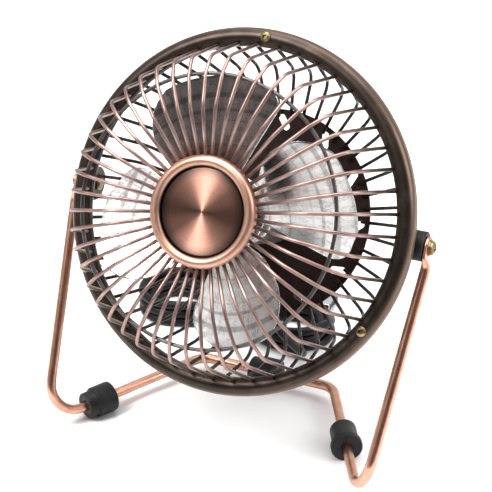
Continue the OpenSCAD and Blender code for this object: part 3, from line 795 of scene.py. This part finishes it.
def make_stand():
    """One bent tube: round along the table and up the legs, pressed flat at the pivots."""
    down = (BEND_FRONT - LEG_TOP).normalized()
    tip_rings, neck_rings, neck, long_step = 13, 16, 13.5, 6
    # Each ring: its place below the pivot, how flat it is from 0 to 1, and its half width
    rings = []
    for k in range(tip_rings):
        s = FLAT_WIDE * math.cos(math.pi / 2 * k / (tip_rings - 1))
        rings.append((-s, 1.0, math.sqrt(max(0.0, FLAT_WIDE ** 2 - s * s)) if k else 0.05))
    for k in range(1, neck_rings + 1):
        s = neck * k / neck_rings
        f = 1 - ease((s - 3.8) / 4.8)
        rings.append((s, f, TUBE_R + (FLAT_WIDE - TUBE_R) * f))
    centres, sizes = [], []
    for s, f, half in rings:
        c = LEG_TOP + down * s
        c.x = c.x * (1 - f) + FLAT_MID * f
        centres.append(c)
        sizes.append((TUBE_R + (FLAT_THIN - TUBE_R) * f, half, 2.0 + 2.5 * f))
    route = rounded([LEG_TOP + down * neck, BEND_FRONT, BEND_REAR,
                     Vector((0, BEND_REAR.y, TUBE_HEIGHT))], [11, 8], 14)
    dense = [route[0]]
    for p in route[1:]:
        steps = max(1, int((p - dense[-1]).length // long_step))
        for k in range(steps, 0, -1):
            dense.append(dense[-1] + (p - dense[-1]) * (1 / k))
    for p in dense[1:]:
        centres.append(p)
        sizes.append((TUBE_R, TUBE_R, 2.0))
    dirs = directions(centres)
    dirs[:tip_rings] = [down] * tip_rings
    dirs[-1] = Vector((-1, 0, 0))
    side = Vector((1, 0, 0))
    verts = []
    sides = 32
    for c, d, (thin, wide, power) in zip(centres, dirs, sizes):
        side = (side - d * side.dot(d)).normalized()
        other = d.cross(side)
        for k in range(sides):
            t = 2 * math.pi * k / sides
            u = math.copysign(abs(math.cos(t)) ** (2 / power), math.cos(t))
            w = math.copysign(abs(math.sin(t)) ** (2 / power), math.sin(t))
            verts.append((c + side * thin * u + other * wide * w) * MM)
    faces = rings_to_faces(len(centres), sides, caps=False)
    faces.append(tuple(range(sides - 1, -1, -1)))
    # The other half of the stand mirrors this one
    total = len(verts)
    verts += [Vector((-v.x, v.y, v.z)) for v in verts]
    faces += [tuple(total + i for i in reversed(f)) for f in faces]
    obj = add_mesh("stand_bent_tube", verts, faces, COPPER_TUBE, "stand", "copper_tube", sharp=60)
    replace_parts(obj, "stand_tube")


make_stand()


FOOT_LENGTH = 12.6


def make_foot(name, face, along, steps, replaced):
    """Slide-on rubber foot from the middle of its front face along the tube, flat on the table.

    steps holds the front step's radius and length and the rear step's radius.
    """
    front_r, front_len, rear_r = steps
    c = 0.7
    profile = [(0.3, 1.95), (0.0, 2.3)] + arc(c, front_r - c, c, 180, 90, 7)
    if front_r > rear_r:
        profile += arc(front_len - c, front_r - c, c, 90, 0, 7)
        profile += [(front_len, rear_r + 0.15), (front_len + 0.15, rear_r)]
    else:
        start = front_len - 1
        profile += [(start - 0.12, front_r), (start, front_r + 0.12)]
        profile += arc(start + c, rear_r - c, c, 180, 90, 7)
    profile += arc(FOOT_LENGTH - c, rear_r - c, c, 90, 0, 7)
    profile += [(FOOT_LENGTH, 2.3), (FOOT_LENGTH - 0.3, 1.95)]
    along = along.normalized()
    up = Vector((0, 0, 1))
    across = up.cross(along)
    segments = 72
    verts = []
    for s in range(segments):
        a = 2 * math.pi * s / segments
        for x, r in profile:
            q = face + along * x + (across * math.cos(a) + up * math.sin(a)) * r
            q.z = max(q.z, 0.0)
            verts.append(q * MM)
    faces = [(a, d, c, b) for a, b, c, d in turned_faces(len(profile), segments)]
    obj = add_mesh(name, verts, faces, RUBBER, "stand", "rubber_black", sharp=50)
    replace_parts(obj, replaced)


FLANGE_BEFORE = (6.25, 3.2, 5.3)
WIDE_BEHIND = (5.4, 5, 6.25)
RUN = (BEND_REAR - BEND_FRONT).normalized()
LEFT_RUN = Vector((-RUN.x, RUN.y, RUN.z))
LEFT_BEND = Vector((-BEND_FRONT.x, BEND_FRONT.y, BEND_FRONT.z))
make_foot("foot_sleeve_right", BEND_FRONT + RUN * 35, RUN, FLANGE_BEFORE, "foot_right")
make_foot("foot_sleeve_left", LEFT_BEND + LEFT_RUN * 18.6, LEFT_RUN, WIDE_BEHIND, "foot_left")
make_foot("foot_sleeve_rear", Vector((-6.8, BEND_REAR.y, TUBE_HEIGHT)), CAGE_RIGHT, WIDE_BEHIND,
          "foot_rear")


# ---------------------------------------------------------------- CAD parts that stay

KEPT = {
    RUBBER: ["pivot_spacer_left", "pivot_spacer_right", "cable_gland"],
    PLASTIC: ["motor_end_cap", "switch_body"],
    ROCKER: ["switch_rocker"],
    BRASS: ["pivot_screw_left", "pivot_screw_right", "pivot_washer_left", "pivot_washer_right",
            "pivot_nut_left", "pivot_nut_right", "rim_screw_top", "rim_screw_right", "rim_screw_left",
            "rim_nut_top", "rim_nut_right", "rim_nut_left", "motor_screws", "cover_screws", "shaft_cap"],
    BRONZE: ["motor_bearing_front", "motor_bearing_rear", "commutator"],
    RIM_PAINT: ["pivot_ear_left", "pivot_ear_right"],
    PLATE_PAINT: ["front_hub_plate", "rear_plate"],
    COVER_PAINT: ["rear_cover"],
    STEEL: ["motor_can", "armature_core", "motor_shaft"],
    FERRITE: ["motor_magnet_a", "motor_magnet_b"],
    ENAMEL: ["armature_coils"],
    ALUMINIUM: ["blade_hub"],
}
for material, names in KEPT.items():
    for name in names:
        mesh = frame["nodes"][name].data
        mesh.materials.clear()
        mesh.materials.append(material)


# ---------------------------------------------------------------- floor and light

def make_floor():
    s = 4.0
    mat, _ = new_material("floor", (0.93, 0.93, 0.93), 0.0, 0.45, 0.35)
    floor = new_object("floor", [(-s, -s, 0), (s, -s, 0), (s, s, 0), (-s, s, 0)], [(0, 1, 2, 3)], mat)
    floor.location.z = -0.00002     # just under the feet


def make_light(name, place, size, power):
    """A rectangular light that faces the fan."""
    data = bpy.data.lights.new(name, "AREA")
    data.shape = "RECTANGLE"
    data.size, data.size_y = size
    data.energy = power
    obj = bpy.data.objects.new(name, data)
    bpy.context.scene.collection.objects.link(obj)
    obj.location = place
    obj.rotation_euler = (Vector(place) - Vector((0, 0, 0.08))).to_track_quat("Z", "Y").to_euler()


def make_world():
    """A soft surround: bright overhead and behind, dim to the sides and darkest on one side in front."""
    world = bpy.data.worlds.new("studio")
    bpy.context.scene.world = world
    world.use_nodes = True
    tree = world.node_tree
    coords = tree.nodes.new("ShaderNodeTexCoord")

    def toward(direction, first, last, low, high):
        """A level that goes from low to high as the direction is faced."""
        facing = tree.nodes.new("ShaderNodeVectorMath")
        facing.operation = "DOT_PRODUCT"
        facing.inputs[1].default_value = direction
        tree.links.new(coords.outputs["Generated"], facing.inputs[0])
        level = tree.nodes.new("ShaderNodeMapRange")
        level.interpolation_type = "SMOOTHSTEP"
        for name, value in (("From Min", first), ("From Max", last),
                            ("To Min", low), ("To Max", high)):
            level.inputs[name].default_value = value
        tree.links.new(facing.outputs["Value"], level.inputs["Value"])
        return level.outputs["Result"]

    def both(kind, a, b):
        n = tree.nodes.new("ShaderNodeMath")
        n.operation = kind
        tree.links.new(a, n.inputs[0])
        tree.links.new(b, n.inputs[1])
        return n.outputs["Value"]

    above = toward((0, 0, 1), 0.35, 0.80, 0.42, 1.15)
    behind = toward((-0.42, 0.91, 0), 0.25, 0.80, 0.0, 1.0)
    flag = toward((0.36, -0.80, 0.48), 0.45, 0.90, 1.0, 0.12)
    level = both("MULTIPLY", both("MAXIMUM", above, behind), flag)
    # The backdrop itself is plain white, whatever it lights
    seen = tree.nodes.new("ShaderNodeLightPath").outputs["Is Camera Ray"]
    tree.links.new(both("MAXIMUM", level, seen), tree.nodes["Background"].inputs["Color"])
    tree.nodes["Background"].inputs["Strength"].default_value = 0.9


make_floor()
make_world()
make_light("key", (-0.45, -0.55, 0.95), (0.4, 0.5), 12.0)
make_light("fill", (0.85, 0.1, 0.6), (0.5, 0.6), 6.0)
make_light("top", (0.0, 0.1, 1.2), (0.9, 0.8), 14.0)
scene = bpy.context.scene
scene.view_settings.view_transform = "Standard"
scene.view_settings.look = "None"
